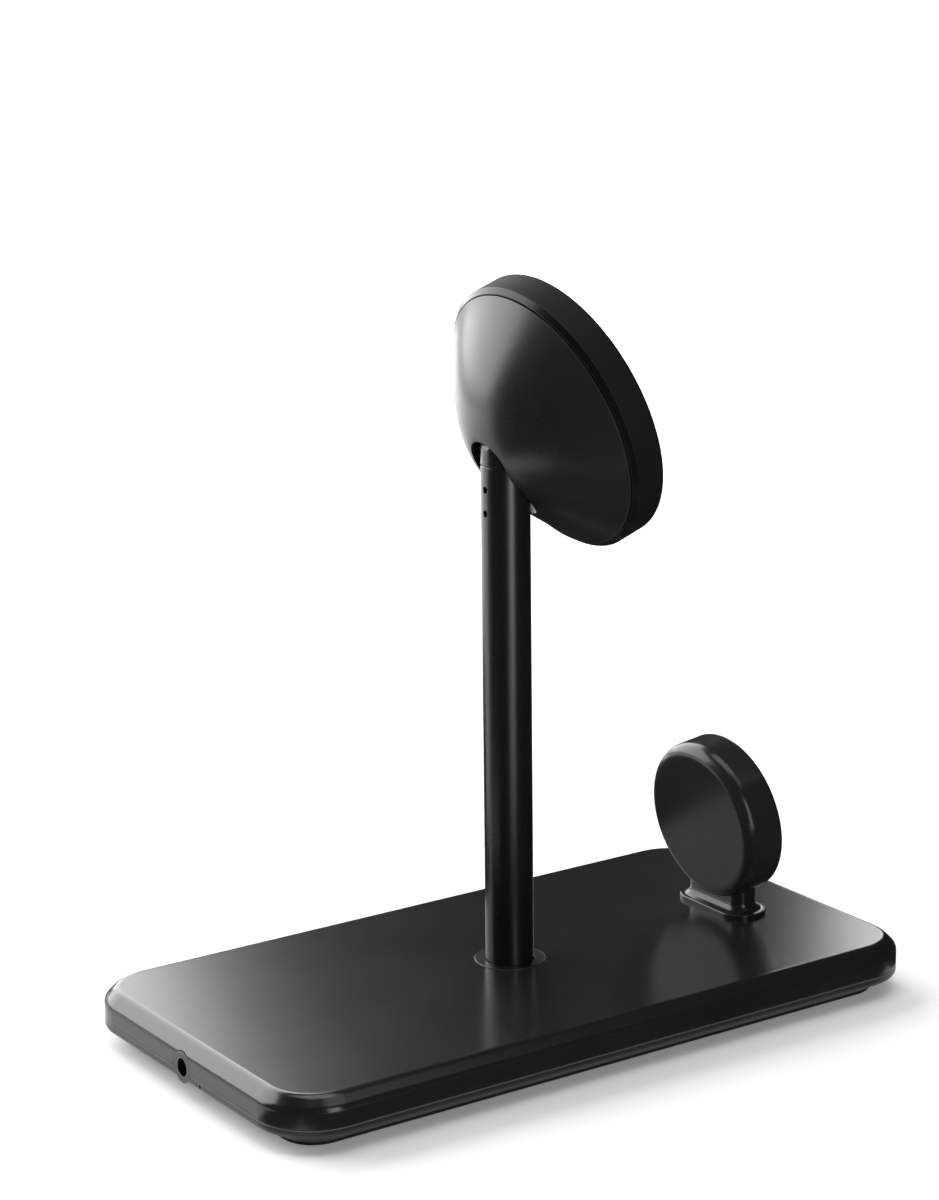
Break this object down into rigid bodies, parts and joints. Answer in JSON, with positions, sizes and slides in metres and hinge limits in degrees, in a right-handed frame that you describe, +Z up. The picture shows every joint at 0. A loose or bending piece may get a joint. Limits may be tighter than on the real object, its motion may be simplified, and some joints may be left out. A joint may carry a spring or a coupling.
{
  "type": "wireless charging stand",
  "caption": "Flat black base with rounded corners, a slim post with a tilting magnetic puck for a phone, and a small upright disc for a watch.",
  "frame": {"origin": "middle of the underside of the foot pad, on the desk", "axes": "+Z up, +Y along the base towards the end with the power inlet, +X across the base"},
  "size_m": [0.08, 0.15, 0.149],
  "materials": {
    "satin_black": "fine satin black",
    "coated_black": "black satin coat",
    "moulded_black": "matte black",
    "soft_black": "soft matte black",
    "face_black": "smooth matte black",
    "steel": "plain steel",
    "bronze": "oiled bronze",
    "copper": "enamelled copper wire",
    "ferrite": "dull dark grey",
    "magnet": "nickel plate",
    "board": "green solder mask",
    "socket": "black moulding",
    "clear": "clear",
    "wire": "black jacket"
  },
  "bodies": {
    "stand": {"base_cover": "satin_black", "base_shell": "satin_black", "post_collar": "coated_black", "post_tube": "coated_black", "hinge_knuckle": "coated_black", "watch_stand": "moulded_black", "foot_pad": "soft_black", "watch_face": "face_black", "ballast_plate": "steel", "base_screws": "steel", "board_screws": "steel", "post_foot": "steel", "post_foot_screws": "steel", "set_screws": "steel", "watch_stand_screws": "steel", "friction_sleeve": "bronze", "earbuds_coil": "copper", "watch_coil": "copper", "earbuds_ferrite": "ferrite", "watch_ferrite": "ferrite", "watch_magnet": "magnet", "main_board": "board", "power_inlet": "socket", "light_pipe": "clear", "post_lead": "wire", "watch_lead": "wire"},
    "phone_puck": {"hinge_pin": "steel", "puck_dome": "coated_black", "hinge_clamps": "steel", "clamp_screws": "steel", "puck_rim": "moulded_black", "front_pad": "soft_black", "magnet_ring": "magnet", "phone_coil": "copper", "phone_ferrite": "ferrite", "puck_plate": "steel", "puck_board": "board"}
  },
  "joints": [
    {"name": "puck_tilt", "type": "hinge", "parent": "stand", "child": "phone_puck", "pos_m": [0, -0.0006, 0.1152], "axis": [-1, 0, 0], "range_deg": [-4, 25]}
  ]
}
